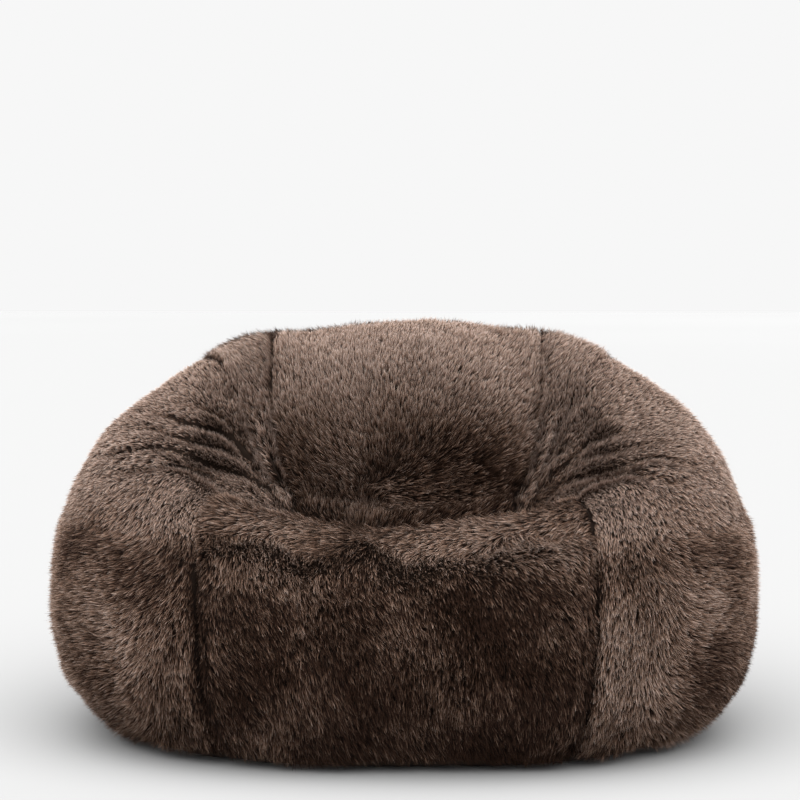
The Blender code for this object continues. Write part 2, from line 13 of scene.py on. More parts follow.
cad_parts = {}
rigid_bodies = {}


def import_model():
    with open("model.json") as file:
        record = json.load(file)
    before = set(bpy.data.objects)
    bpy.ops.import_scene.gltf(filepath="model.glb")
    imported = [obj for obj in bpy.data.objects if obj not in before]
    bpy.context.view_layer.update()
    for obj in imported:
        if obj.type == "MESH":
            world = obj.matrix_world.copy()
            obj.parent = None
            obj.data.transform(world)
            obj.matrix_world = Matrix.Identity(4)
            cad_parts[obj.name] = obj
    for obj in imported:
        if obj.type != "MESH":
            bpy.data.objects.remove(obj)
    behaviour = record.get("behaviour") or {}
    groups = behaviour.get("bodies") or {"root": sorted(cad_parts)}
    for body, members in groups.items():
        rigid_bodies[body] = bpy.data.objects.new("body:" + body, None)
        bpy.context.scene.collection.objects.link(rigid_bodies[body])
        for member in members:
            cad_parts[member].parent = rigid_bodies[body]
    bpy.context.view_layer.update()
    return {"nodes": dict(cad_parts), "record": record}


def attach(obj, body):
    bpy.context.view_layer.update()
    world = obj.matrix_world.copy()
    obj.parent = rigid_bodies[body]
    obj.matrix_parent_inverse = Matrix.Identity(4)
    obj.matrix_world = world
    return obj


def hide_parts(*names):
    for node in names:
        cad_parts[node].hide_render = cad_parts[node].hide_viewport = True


for leftover in list(bpy.data.objects):
    bpy.data.objects.remove(leftover, do_unlink=True)

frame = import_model()

SEED = 7
LINERS = ("liner_centre_strip", "liner_left_side", "liner_right_side", "liner_rear_upper",
          "liner_rear_lower", "liner_base")
PANELS = ("front_panel", "seat_panel", "backrest_panel", "left_gusset", "right_gusset",
          "left_side_panel", "right_side_panel", "rear_panel", "rear_hem_panel", "base_panel")
FUR_PANELS = PANELS[:-1]

# Lengths are in metres and heights are above the floor, unless a comment says otherwise.

# Cover skin
OUTER_LAYER = 0.027      # the outer faces of the cover lie further than this from the beads
SEW_REACH = 0.005        # panel edges closer than this are one seam
ZIP_REACH = 0.028        # edges parted by a zip opening or a mitred tip are one seam too
WELD_GRID = 2e-5         # corners of one node closer than this are one point
SKIN_DEPTH = 0.0085      # knitted backing below the panel's outer face, after smoothing
SKIN_THICKNESS = 0.0018
DEEPEST_DIP = 0.023      # no fold goes deeper than this
UNDERCUT = 0.014         # how far the sides draw in just above the floor
FLOOR_GAP = 0.0012       # height of the skin's outer face where it rests on the floor
FLOOR_BAND = 0.03        # below this height the skin is pinned while it swells
SAG_BAND = 0.12          # the underside is lowered below this height
HEM_ROLL = 0.075         # the cover's sides roll under below this height
HEM_FLATTEST = 0.10      # share of its height that the skin keeps at the floor

# Swelling by the beads' pressure
PRESSURE = 4.0
SIM_FRAMES = 20
CLOTH_STIFFNESS = 12
SIM_CAP = 0.012          # no point moves further than this

# Seams and zips
SEAM_PINCH = 0.015       # how far a seam draws the skin in
SEAM_WIDTH = 0.009
SEAM_CALM = 0.012        # folds and bulges fade out this close to a seam
SEAM_PARTING = 0.019     # the pile leans away from a seam over about this distance
ZIP_HALF = 0.235         # half the length of the rear opening
ZIP_HEIGHT = 0.110
ZIP_DIP = 0.0085         # brings the cover's edges in to its zip tapes, and no further
ZIP_FADE = 0.014
ZIP_BARE = 0.030         # the pile is shorter within this distance of the zip

# Liner and beads
LINER_CLEARANCE = 0.009  # the liner stays this far inside the skin
LINER_HEIGHT = 0.0105    # liner's outer face above the beads
LINER_ROUNDS = 3         # rings of points that follow a pushed point
PROBE = 0.05             # a ray to find the skin starts this far outside
ZIP_MARGIN = 0.018       # the liner isn't pushed along its own zip

# Arm folds: they fan out from the seat's back corners
FAN_CENTRE = (0.180, 0.0, 0.310)
FAN_REACH = 0.325
FAN_TILT = 0.12          # how much further back counts as higher, seen from the front
LEFT_FOLDS = (0.71, 0.60, 0.47, 0.33, 0.18)     # each fold's angle at its outer end, in radians
RIGHT_FOLDS = (0.64, 0.51, 0.38, 0.25, 0.12)
LEFT_END = 0.97          # where the folds fade out, as a share of their reach
RIGHT_END = 0.84
RIGHT_SHARE = 0.62       # the right arm's folds are shallower
FOLD_CURL = 0.75         # radians that a fold rises by towards the seat's corner
FOLD_DEPTH = 0.020
FOLD_ROLL = 0.4          # height of the rolls between folds, as a share of the depth
FOLD_WIDTH = 0.0105
FOLD_LINE = 0.0060       # width of the dark line along a crease: the pile is shorter and sparser there, and painted darker as shade
FOLD_WAVE = 0.004        # how far a fold wanders to each side
FOLD_BEGIN = 0.12        # where the middle folds begin, as a share of their reach
EDGE_FOLD_BEGIN = 0.33   # the same for the highest and lowest folds
TOP_FOLD_CUT = 0.13      # the highest fold ends this much earlier
BEGIN_SPAN = 0.12        # the folds deepen and fade out over these shares
END_SPAN = 0.22

# Pile
GUIDE_AREA = 1.6e-5      # one tuft for each of these patches, in square metres
PER_TUFT = 5
TUFT_RADIUS = 0.0030
GATHER_MIDDLE = 0.20     # how far a tuft's fibres lean together up to their middles
GATHER_TIP = 0.35        # and from there to their tips
ROOT_DEPTH = 0.0015      # fibres start this far under the skin
PILE_LENGTH = 0.0215
PILE_LIFT = 0.66         # how steeply a fibre stands off the skin, in radians
MIDDLE_SHARE = 0.42      # where a fibre bends, as a share of its length
START_LIFT = 0.35        # a fibre starts steeper than its tuft, in radians
END_LIFT = -0.20         # and ends flatter
STRAY = 0.13             # how far single fibres stray from their tuft
PILE_TONE = 0.42         # 0 is a dark fibre and 1 a pale one
STRAND_WIDTH = 0.00085
LOWEST_STRAND = 0.002    # no fibre reaches lower
PIECE_STRANDS = 62000    # most strands in one piece; keeps each exported piece under its size limit

# A strand is a quad from its root to its middle and a triangle from there to its tip
STRAND_LAYOUT = "OFBake"             # its UV layer: across is the tone, with its painted light and shade, up is the height
STRAND_POINTS = 5
STRAND_CORNERS = (0, 1, 2, 3, 3, 2, 4)
STRAND_FACES = (0, 4)                # the first corner of each face
CORNER_SIDES = (-1, 1, 1, -1, -1, 1, 0)
CORNER_HEIGHTS = (0.02, 0.02, 0.46, 0.46, 0.46, 0.46, 0.98)
LAYOUT_HALF = 0.004                  # half a strand's width in the layout

# Colours of a fibre from its root (0) to its tip (1)
DARK_FIBRE = [(0.0, (0.0016, 0.0007, 0.0004)), (0.50, (0.0042, 0.0018, 0.0010)),
              (0.80, (0.021, 0.0088, 0.0047)), (1.0, (0.052, 0.024, 0.0140))]
BROWN_FIBRE = [(0.0, (0.0023, 0.0011, 0.0007)), (0.40, (0.013, 0.0064, 0.0039)),
               (0.68, (0.126, 0.070, 0.0450)), (1.0, (0.395, 0.275, 0.212))]
PALE_FIBRE = [(0.0, (0.0030, 0.0015, 0.0010)), (0.40, (0.024, 0.0135, 0.0092)),
              (0.68, (0.235, 0.150, 0.112)), (1.0, (0.725, 0.600, 0.530))]

# Sockets of a Mix node that mixes colours
MIX_FACTOR, MIX_FIRST, MIX_SECOND, MIX_RESULT = 0, 6, 7, 2

# Studio
LENS = 89.8              # focal length in millimetres
LENS_SHIFT = 0.1693
CAMERA_TILT = 7.0        # degrees
CAMERA_TURN = 1.8        # degrees
CAMERA_DISTANCE = 3.2
CAMERA_TARGET = (-0.0065, 0.0, 0.30)
SUN_STRENGTH = 6.4
SUN_SPREAD = 90.0        # degrees
SUN_AIM = (0.0, 0.42, -1.0)
SKY_STRENGTH = 0.93
FLOOR_HALF = 60.0


# Shapes of change

def rising(values, start, span):
    """0 up to the start, then up to 1 over the span."""
    return np.clip((values - start) / span, 0.0, 1.0)


def falling(values, end, span):
    """1 until one span before the end, then down to 0 at the end."""
    return np.clip((end - values) / span, 0.0, 1.0)


def bell(values, centre, width):
    """1 at the centre, falling smoothly to both sides."""
    return np.exp(-((values - centre) / width) ** 2)


# Mesh helpers

def unique_mesh(obj):
    """A node's points without repeats, and its triangles."""
    mesh = obj.data
    places = np.zeros(len(mesh.vertices) * 3, np.float32)
    mesh.vertices.foreach_get("co", places)
    places = places.reshape(-1, 3).astype(float)
    mesh.calc_loop_triangles()
    corners = np.zeros(len(mesh.loop_triangles) * 3, np.int32)
    mesh.loop_triangles.foreach_get("vertices", corners)
    _, first, inverse = np.unique(np.round(places / WELD_GRID).astype(np.int64), axis=0,
                                  return_index=True, return_inverse=True)
    return places[first], inverse.reshape(-1)[corners].reshape(-1, 3)


def bead_tree():
    """Search tree over the bead filling."""
    points, triangles = unique_mesh(frame["nodes"]["bead_filling"])
    return BVHTree.FromPolygons(points.tolist(), triangles.tolist())


def outer_layers():
    """Each cover panel's outer faces: points, triangles and the indices of its border points."""
    tree = bead_tree()
    layers = []
    for name in PANELS:
        points, triangles = unique_mesh(frame["nodes"][name])
        far = np.array([tree.find_nearest(Vector(p))[3] > OUTER_LAYER for p in points])
        triangles = triangles[far[triangles].all(axis=1)]
        edges = np.sort(np.vstack([triangles[:, (0, 1)], triangles[:, (1, 2)],
                                   triangles[:, (2, 0)]]), axis=1)
        pairs, uses = np.unique(edges, axis=0, return_counts=True)
        layers.append((points, triangles, np.unique(pairs[uses == 1])))
    return layers


def border_matches(places, panel):
    """Pairs of border points on different panels that are sewn together."""
    matched = np.zeros(len(places), bool)
    links = []
    for reach in (SEW_REACH, ZIP_REACH):
        for i in np.nonzero(~matched)[0]:
            gaps = np.linalg.norm(places - places[i], axis=1)
            gaps[panel == panel[i]] = 1.0
            near = np.nonzero(gaps < reach)[0]
            if reach == ZIP_REACH and len(near):
                near = near[np.argsort(gaps[near])[:1]]
            links += [(i, j) for j in near]
        for i, j in links:
            matched[i] = matched[j] = True
    return links


def group_numbers(count, links):
    """A number for each of count points, the same for all points that are linked."""
    root = list(range(count))

    def find(k):
        while root[k] != k:
            k = root[k]
        return k

    for i, j in links:
        a, b = find(i), find(j)
        root[max(a, b)] = min(a, b)
    return np.array([find(k) for k in range(count)])


def sewn_groups(layers):
    """All points with every seam's border points joined, and which point each one became."""
    starts = np.cumsum([0] + [len(points) for points, _, _ in layers])
    owner = np.arange(starts[-1])
    everything = np.vstack([points for points, _, _ in layers])
    border = np.concatenate([rim + start for (_, _, rim), start in zip(layers, starts)])
    panel = np.concatenate([np.full(len(rim), k) for k, (_, _, rim) in enumerate(layers)])
    groups = group_numbers(len(border), border_matches(everything[border], panel))
    for group in np.unique(groups):
        members = border[groups == group]
        everything[members] = everything[members].mean(axis=0)
        owner[members] = members.min()
    return everything, owner, starts


def sewn_cage():
    """The cover as one closed cage of quads, with a material number per panel."""
    layers = outer_layers()
    everything, owner, starts = sewn_groups(layers)
    body = bmesh.new()
    made = {}
    for number, ((_, triangles, _), start) in enumerate(zip(layers, starts)):
        for triangle in triangles:
            ids = [int(owner[start + k]) for k in triangle]
            if len(set(ids)) < 3:
                continue
            ring = []
            for k in ids:
                if k not in made:
                    made[k] = body.verts.new(everything[k])
                ring.append(made[k])
            if body.faces.get(ring) is None:
                body.faces.new(ring).material_index = number
    bmesh.ops.join_triangles(body, faces=body.faces, cmp_materials=True,
                             angle_face_threshold=math.pi, angle_shape_threshold=math.pi)
    bmesh.ops.recalc_face_normals(body, faces=body.faces)
    mesh = bpy.data.meshes.new("cage")
    body.to_mesh(mesh)
    body.free()
    for _ in PANELS:
        mesh.materials.append(None)
    cage = bpy.data.objects.new("cage", mesh)
    bpy.context.scene.collection.objects.link(cage)
    return cage


def keep_result(obj):
    """Apply every modifier on the object."""
    depsgraph = bpy.context.evaluated_depsgraph_get()
    final = bpy.data.meshes.new_from_object(obj.evaluated_get(depsgraph))
    obj.modifiers.clear()
    obj.data = final


def subdivide(obj, levels):
    """Smooth the cage into a finer surface."""
    modifier = obj.modifiers.new("fine", "SUBSURF")
    modifier.levels = levels
    modifier.render_levels = levels
    keep_result(obj)


def point_array(mesh):
    """Vertex positions as an array."""
    flat = np.zeros(len(mesh.vertices) * 3, np.float32)
    mesh.vertices.foreach_get("co", flat)
    return flat.reshape(-1, 3).astype(float)


def normal_array(mesh):
    """Vertex normals as an array."""
    flat = np.zeros(len(mesh.vertices) * 3, np.float32)
    mesh.vertex_normals.foreach_get("vector", flat)
    return flat.reshape(-1, 3).astype(float)


def set_points(mesh, points):
    """Write vertex positions back."""
    mesh.vertices.foreach_set("co", points.astype(np.float32).ravel())
    mesh.update()


def panels_of_points(mesh):
    """The panels that meet at each vertex. Two or more make a seam."""
    panels_at = [set() for _ in mesh.vertices]
    for face in mesh.polygons:
        for vertex in face.vertices:
            panels_at[vertex].add(face.material_index)
    return panels_at


def stretchy_cloth(body):
    """A soft cloth under pressure from inside, without gravity."""
    cloth = body.modifiers.new("cloth", "CLOTH")
    settings = cloth.settings
    settings.quality = 5
    settings.mass = 0.4
    settings.tension_stiffness = CLOTH_STIFFNESS
    settings.compression_stiffness = CLOTH_STIFFNESS
    settings.shear_stiffness = CLOTH_STIFFNESS / 2
    settings.bending_stiffness = 1.5
    settings.use_pressure = True
    settings.uniform_pressure_force = PRESSURE
    settings.effector_weights.gravity = 0.0
    return cloth


def simulate_fill(body, pinned):
    """Let the beads' pressure swell the sewn skin between its pinned seams."""
    mesh = body.data
    before = point_array(mesh)
    group = body.vertex_groups.new(name="sewn")
    group.add([int(k) for k in np.nonzero(pinned)[0]], 1.0, "REPLACE")
    cloth = stretchy_cloth(body)
    cloth.settings.vertex_group_mass = group.name
    cloth.point_cache.frame_start = 1
    cloth.point_cache.frame_end = SIM_FRAMES
    for step in range(1, SIM_FRAMES + 1):
        bpy.context.scene.frame_set(step)
    keep_result(body)
    moved = point_array(body.data) - before
    size = np.linalg.norm(moved, axis=1)[:, None]
    moved *= np.minimum(1.0, SIM_CAP / np.maximum(size, 1e-9))
    set_points(body.data, before + moved)
    bpy.context.scene.frame_set(1)
    body.vertex_groups.clear()


# Folds

def fold_field(points, normals, side, angles, widest, last):
    """One arm's folds: how deep in a crease each point is, and how high on a roll between them.

    The side is -1 or 1, the angles place the folds, widest limits their width, and last is the
    share of their reach where they end.
    """
    centre = np.array(FAN_CENTRE)
    out = side * points[:, 0] - centre[0]
    rise = points[:, 2] - centre[2] + FAN_TILT * (points[:, 1] - centre[1])
    reach = np.hypot(out, rise)
    angle = np.arctan2(rise, out)
    share = reach / FAN_REACH
    width = np.clip((0.035 * reach + 0.0060) * widest / FOLD_WIDTH, 0.0, widest)
    crease = np.zeros(len(points))
    roll = np.zeros(len(points))
    for order, start in enumerate(angles):
        line = start + FOLD_CURL * (1.0 - share)
        gap = (angle - line) * reach + FOLD_WAVE * np.sin(reach * 50.0 + 2.1 * order)
        begin = FOLD_BEGIN if 0.2 < start < 0.65 else EDGE_FOLD_BEGIN
        end = (last if order else last - TOP_FOLD_CUT) + 0.05 * math.sin(4.1 * order + 1.0)
        depth = 0.82 + 0.18 * math.cos(2.7 * order + 3.5)
        fade = rising(share, begin, BEGIN_SPAN) * falling(share, end, END_SPAN)
        crease = np.maximum(crease, depth * fade * bell(gap, 0.0, width))
        roll = np.maximum(roll, depth * fade * bell(np.abs(gap) / width, 1.9, 0.9))
    front = falling(normals[:, 1], 0.25, 0.2) * (out > 0.0)
    return crease * front, roll * front * (1.0 - crease)


def arm_folds(points, normals, widest):
    """Creases and rolls of both arms together."""
    left = fold_field(points, normals, -1.0, LEFT_FOLDS, widest, LEFT_END)
    right = fold_field(points, normals, 1.0, RIGHT_FOLDS, widest, RIGHT_END)
    return left[0] + RIGHT_SHARE * right[0], left[1] + right[1]


def softness(points):
    """Gentle unevenness of the bead filling under the skin."""
    values = [noise.noise(Vector(p) * 5.5) * 0.006 + noise.noise(Vector(p) * 13.0) * 0.0025
              for p in points]
    return np.array(values)


def front_roll(points):
    """The creased roll along the front's top edge."""
    x, y, z = points[:, 0], points[:, 1], points[:, 2]
    front = bell(y, -0.385, 0.06)
    front *= falling(np.abs(x), 0.36, 0.08)
    sag = 0.35 * x ** 2
    swell = 0.003 * bell(z - sag, 0.350, 0.022)
    crease = -0.005 * bell(z - sag, 0.322, 0.012)
    broken = np.clip(0.55 + 1.6 * noise_field(points, 9.0, 14.0), 0.0, 1.2)
    return front * (swell + crease * broken * falling(np.abs(x), 0.31, 0.10))


def crest_shoulders(points):
    """The crest is broad: its shoulders stay high before they fall to the arms."""
    across = bell(np.abs(points[:, 0]), 0.26, 0.10)
    return 0.017 * across * rising(points[:, 2], 0.46, 0.10)


def from_nearest(targets, points):
    """The way to each point from the nearest of the targets."""
    tree = KDTree(len(targets))
    for k, target in enumerate(targets):
        tree.insert(target, k)
    tree.balance()
    return points - np.array([tree.find(point)[0] for point in points])


def seam_fields(mesh):
    """For every vertex: the way from the nearest tight seam, and from the zip.

    The seam between the front and the seat isn't tight, because it lies in the roll.
    """
    owners = panels_of_points(mesh)
    points = point_array(mesh)
    rolled = {PANELS.index("front_panel"), PANELS.index("seat_panel")}
    zipped = {PANELS.index("rear_hem_panel"), PANELS.index("rear_panel")}
    tight = np.array([len(o) > 1 and not o <= rolled for o in owners])
    opening = np.array([zipped <= o for o in owners]) & (np.abs(points[:, 0]) < ZIP_HALF)
    return from_nearest(points[tight], points), from_nearest(points[opening], points)


def rest_on_floor(points):
    """Lower the underside so that the cover touches the floor."""
    lift = points[:, 2].min() - FLOOR_GAP
    points[:, 2] -= lift * np.clip(1.0 - points[:, 2] / SAG_BAND, 0.0, 1.0)
    points[:, 2] = np.maximum(points[:, 2], FLOOR_GAP)
    points[:, 2] *= np.clip(points[:, 2] / HEM_ROLL, HEM_FLATTEST, 1.0)
    points[:, 2] = np.maximum(points[:, 2], FLOOR_GAP)
    return points


def filled_skin():
    """The sewn skin, swelled by the beads and fine enough for folds."""
    body = sewn_cage()
    subdivide(body, 2)
    mesh = body.data
    set_points(mesh, point_array(mesh) - normal_array(mesh) * SKIN_DEPTH)
    pinned = np.array([len(o) > 1 for o in panels_of_points(mesh)])
    pinned |= point_array(mesh)[:, 2] < FLOOR_BAND
    simulate_fill(body, pinned)
    subdivide(body, 1)
    return body


def skin_relief(points, normals, seam_gap):
    """How far the folds, rolls and filling raise or lower each point of the skin."""
    crease, roll = arm_folds(points, normals, FOLD_WIDTH)
    move = softness(points) + front_roll(points)
    move = move - FOLD_DEPTH * crease + FOLD_ROLL * FOLD_DEPTH * roll
    move *= 1.0 - bell(seam_gap, 0.0, SEAM_CALM)
    move = np.maximum(move, -DEEPEST_DIP)
    move += crest_shoulders(points)
    move -= UNDERCUT * bell(points[:, 2], 0.03, 0.045)
    return move


def sewn_body():
    """The whole skin as one surface, with what the pile needs to know at each of its points."""
    body = filled_skin()
    mesh = body.data
    points = point_array(mesh)
    normals = normal_array(mesh)
    y, z = points[:, 1], points[:, 2]
    away, zip_away = seam_fields(mesh)
    seam_gap = np.linalg.norm(away, axis=1)
    zip_gap = np.linalg.norm(zip_away, axis=1)
    move = skin_relief(points, normals, seam_gap)
    # Seams are shallow over the front's top edge and on the crest, and show less above the seat
    eased = 1.0 - 0.8 * rising(z, 0.31, 0.03) * (y < -0.2)
    crest = 1.0 - 0.6 * rising(z, 0.45, 0.05)
    above = 1.0 - 0.62 * rising(z, 0.36, 0.05)
    # The zip's own dip takes the place of the seam's
    zipped = np.clip(1.6 - zip_gap / ZIP_FADE, 0.0, 1.0)
    hem = bell(seam_gap, 0.0, SEAM_WIDTH) * eased
    move -= SEAM_PINCH * hem * crest * (1.0 - zipped)
    move -= ZIP_DIP * zipped
    hem = hem * above * rising(z, 0.04, 0.03)
    line = bell(seam_gap, 0.0, SEAM_PARTING) * eased * above
    low = rising(z, 0.004, 0.03)
    set_points(mesh, rest_on_floor(points + normals * (move * low)[:, None]))
    fields = {"hem": hem[:, None], "line": line[:, None], "away": away,
              "opening": zip_gap[:, None], "up": normal_array(mesh)}
    return body, fields


def mesh_object(name, points, faces):
    """A mesh object from arrays of points and face rings."""
    mesh = bpy.data.meshes.new(name)
    mesh.from_pydata(points.tolist(), [], faces)
    mesh.update()
    obj = bpy.data.objects.new(name, mesh)
    bpy.context.scene.collection.objects.link(obj)
    return obj


def smooth(obj):
    """Smooth shading on the whole object."""
    for face in obj.data.polygons:
        face.use_smooth = True


def panel_skin(body, number):
    """One panel's own piece of the skin, as a thin closed sheet."""
    mesh = body.data
    points = point_array(mesh)
    rings = [list(f.vertices) for f in mesh.polygons if f.material_index == number]
    used = sorted({v for ring in rings for v in ring})
    place = {v: k for k, v in enumerate(used)}
    faces = [[place[v] for v in ring] for ring in rings]
    name = PANELS[number]
    skin = mesh_object(name + "_skin", points[used], faces)
    smooth(skin)
    solid = skin.modifiers.new("backing", "SOLIDIFY")
    solid.thickness = SKIN_THICKNESS
    solid.offset = -1.0
    keep_result(skin)
    return skin


def fine_copy(name):
    """A copy of a CAD node with enough points to bend."""
    points, triangles = unique_mesh(frame["nodes"][name])
    piece = mesh_object(name + "_settled", points, triangles.tolist())
    finer = piece.modifiers.new("finer", "SUBSURF")
    finer.subdivision_type = "SIMPLE"
    finer.levels = 2
    finer.render_levels = 2
    keep_result(piece)
    return piece


def push_needed(places, edges, skin_tree, beads):
    """For each point: the way in, and how far it must go to lie under the cover's dips."""
    inward = np.zeros_like(places)
    push = np.zeros(len(places))
    for k, place in enumerate(places):
        _, out, _, height = beads.find_nearest(Vector(place))
        inward[k] = -np.array(out)
        above = skin_tree.ray_cast(Vector(place) + out * PROBE, -out, 2.5 * PROBE)[3]
        if above is not None:
            push[k] = max(0.0, LINER_CLEARANCE + LINER_HEIGHT - height - (above - PROBE))
    for _ in range(LINER_ROUNDS):
        wider = push.copy()
        np.maximum.at(wider, edges[:, 0], push[edges[:, 1]])
        np.maximum.at(wider, edges[:, 1], push[edges[:, 0]])
        push = wider
    return inward, push


def inner_piece(name, skin_tree, beads):
    """A liner panel or the bead filling, settled under the folds and dips of the cover."""
    piece = fine_copy(name)
    places = point_array(piece.data)
    edges = np.array([tuple(edge.vertices) for edge in piece.data.edges])
    inward, push = push_needed(places, edges, skin_tree, beads)
    behind = (places[:, 1] > 0.2) & (np.abs(places[:, 0]) < ZIP_HALF)
    off_zip = np.clip(np.abs(places[:, 2] - ZIP_HEIGHT) / ZIP_MARGIN, 0.0, 1.0)
    aside = np.where(behind, off_zip, 1.0)
    places += inward * (push * aside)[:, None]
    for k in np.nonzero(aside > 0.99)[0]:
        touch, normal, _, _ = skin_tree.find_nearest(Vector(places[k]))
        if -PROBE / 2 < (touch - Vector(places[k])).dot(normal) < LINER_CLEARANCE:
            places[k] = touch - normal * LINER_CLEARANCE
    set_points(piece.data, places)
    smooth(piece)
    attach(piece, "bag")
    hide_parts(name)
    return piece


def add_insides(body):
    """The liner and the beads."""
    mesh = body.data
    rings = [list(f.vertices) for f in mesh.polygons]
    skin_tree = BVHTree.FromPolygons(point_array(mesh).tolist(), rings)
    beads = bead_tree()
    cloth = weave_material("liner_cloth", (0.075, 0.066, 0.058), (0.15, 0.135, 0.12), 420.0, 0.80)
    grains = speckle_material("beads", (0.70, 0.70, 0.68), (0.92, 0.92, 0.90), 180.0, 0.65)
    for name in LINERS:
        piece = inner_piece(name, skin_tree, beads)
        piece.data.materials.append(cloth)
    filling = inner_piece("bead_filling", skin_tree, beads)
    filling.data.materials.append(grains)


# Materials

def new_material(name, roughness, metallic=0.0):
    """A node material with its shader, nodes and links."""
    material = bpy.data.materials.new(name)
    material.use_nodes = True
    nodes = material.node_tree.nodes
    shader = nodes["Principled BSDF"]
    shader.inputs["Roughness"].default_value = roughness
    shader.inputs["Metallic"].default_value = metallic
    return material, nodes, material.node_tree.links, shader


def ramp(nodes, stops):
    """A colour ramp with (position, colour) stops."""
    node = nodes.new("ShaderNodeValToRGB")
    elements = node.color_ramp.elements
    while len(elements) < len(stops):
        elements.new(0.5)
    for element, (position, colour) in zip(elements, stops):
        element.position = position
        element.color = (*colour, 1.0)
    return node


def mix_colour(nodes, links, factor, first, second):
    """A colour mix of two outputs by a factor output."""
    node = nodes.new("ShaderNodeMix")
    node.data_type = "RGBA"
    links.new(factor, node.inputs[MIX_FACTOR])
    links.new(first, node.inputs[MIX_FIRST])
    links.new(second, node.inputs[MIX_SECOND])
    return node.outputs[MIX_RESULT]


def share_of(nodes, links, value, start, end):
    """How far a value has come from start to end, held between 0 and 1."""
    node = nodes.new("ShaderNodeMapRange")
    node.inputs["From Min"].default_value = start
    node.inputs["From Max"].default_value = end
    links.new(value, node.inputs["Value"])
    return node.outputs["Result"]


def combined(nodes, links, operation, first, second):
    """A math node on two outputs."""
    node = nodes.new("ShaderNodeMath")
    node.operation = operation
    links.new(first, node.inputs[0])
    links.new(second, node.inputs[1])
    return node.outputs[0]


def add_bump(nodes, links, shader, height, strength, distance):
    """Bump on the shader from a height output."""
    bump = nodes.new("ShaderNodeBump")
    bump.inputs["Strength"].default_value = strength
    bump.inputs["Distance"].default_value = distance
    links.new(height, bump.inputs["Height"])
    links.new(bump.outputs[0], shader.inputs["Normal"])


def pile_material():
    """Long pile: dark roots, brown middles and pinkish beige tips, from the strand's own layout."""
    material, nodes, links, shader = new_material("pile_fibre", 0.62)
    layout = nodes.new("ShaderNodeUVMap")
    layout.uv_map = STRAND_LAYOUT
    split = nodes.new("ShaderNodeSeparateXYZ")
    links.new(layout.outputs[0], split.inputs[0])
    tone, height = split.outputs[0], split.outputs[1]
    shades = [ramp(nodes, stops) for stops in (DARK_FIBRE, BROWN_FIBRE, PALE_FIBRE)]
    for shade in shades:
        links.new(height, shade.inputs[0])
    dark, brown, pale = [shade.outputs[0] for shade in shades]
    # The tone, with its painted light and shade, picks dark, brown or pale fibres
    browning = share_of(nodes, links, tone, 0.0, 0.5)
    greying = share_of(nodes, links, tone, 0.5, 1.0)
    lower = mix_colour(nodes, links, browning, dark, brown)
    colour = mix_colour(nodes, links, greying, lower, pale)
    links.new(colour, shader.inputs["Base Color"])
    shader.inputs["Specular IOR Level"].default_value = 0.06
    return material


def backing_material():
    """Dark knitted backing under the pile."""
    material, nodes, links, shader = new_material("fur_backing", 0.95)
    shader.inputs["Specular IOR Level"].default_value = 0.05
    knit = nodes.new("ShaderNodeTexNoise")
    knit.inputs["Scale"].default_value = 420.0
    tone = ramp(nodes, [(0.3, (0.006, 0.004, 0.003)), (0.7, (0.016, 0.010, 0.007))])
    links.new(knit.outputs[0], tone.inputs[0])
    links.new(tone.outputs[0], shader.inputs["Base Color"])
    return material


def threads(nodes, links, place, direction, scale):
    """Slightly wavy threads across one direction."""
    wave = nodes.new("ShaderNodeTexWave")
    wave.bands_direction = direction
    wave.inputs["Scale"].default_value = scale
    wave.inputs["Distortion"].default_value = 0.6
    links.new(place, wave.inputs["Vector"])
    return wave.outputs[1]


def weave_material(name, dark, light, scale, roughness):
    """Woven fabric: two crossing sets of threads with a little wear."""
    material, nodes, links, shader = new_material(name, roughness)
    shader.inputs["Specular IOR Level"].default_value = 0.25
    place = nodes.new("ShaderNodeTexCoord").outputs["Object"]
    weave = combined(nodes, links, "MAXIMUM", threads(nodes, links, place, "X", scale),
                     threads(nodes, links, place, "Z", scale))
    worn = nodes.new("ShaderNodeTexNoise")
    worn.inputs["Scale"].default_value = 0.25 * scale
    worn.inputs["Detail"].default_value = 4.0
    links.new(place, worn.inputs["Vector"])
    tone = ramp(nodes, [(0.15, dark), (0.60, light)])
    links.new(combined(nodes, links, "MULTIPLY", weave, worn.outputs[0]), tone.inputs[0])
    links.new(tone.outputs[0], shader.inputs["Base Color"])
    add_bump(nodes, links, shader, weave, strength=0.35, distance=0.0006)
    return material


def speckle_material(name, dark, light, scale, roughness, metallic=0.0):
    """A moulded or plated surface with fine worn variation."""
    material, nodes, links, shader = new_material(name, roughness, metallic)
    grain = nodes.new("ShaderNodeTexNoise")
    grain.inputs["Scale"].default_value = scale
    grain.inputs["Detail"].default_value = 6.0
    tone = ramp(nodes, [(0.36, dark), (0.62, light)])
    links.new(grain.outputs[0], tone.inputs[0])
    links.new(tone.outputs[0], shader.inputs["Base Color"])
    add_bump(nodes, links, shader, grain.outputs[0], strength=0.25, distance=0.0003)
    return material


# Pile

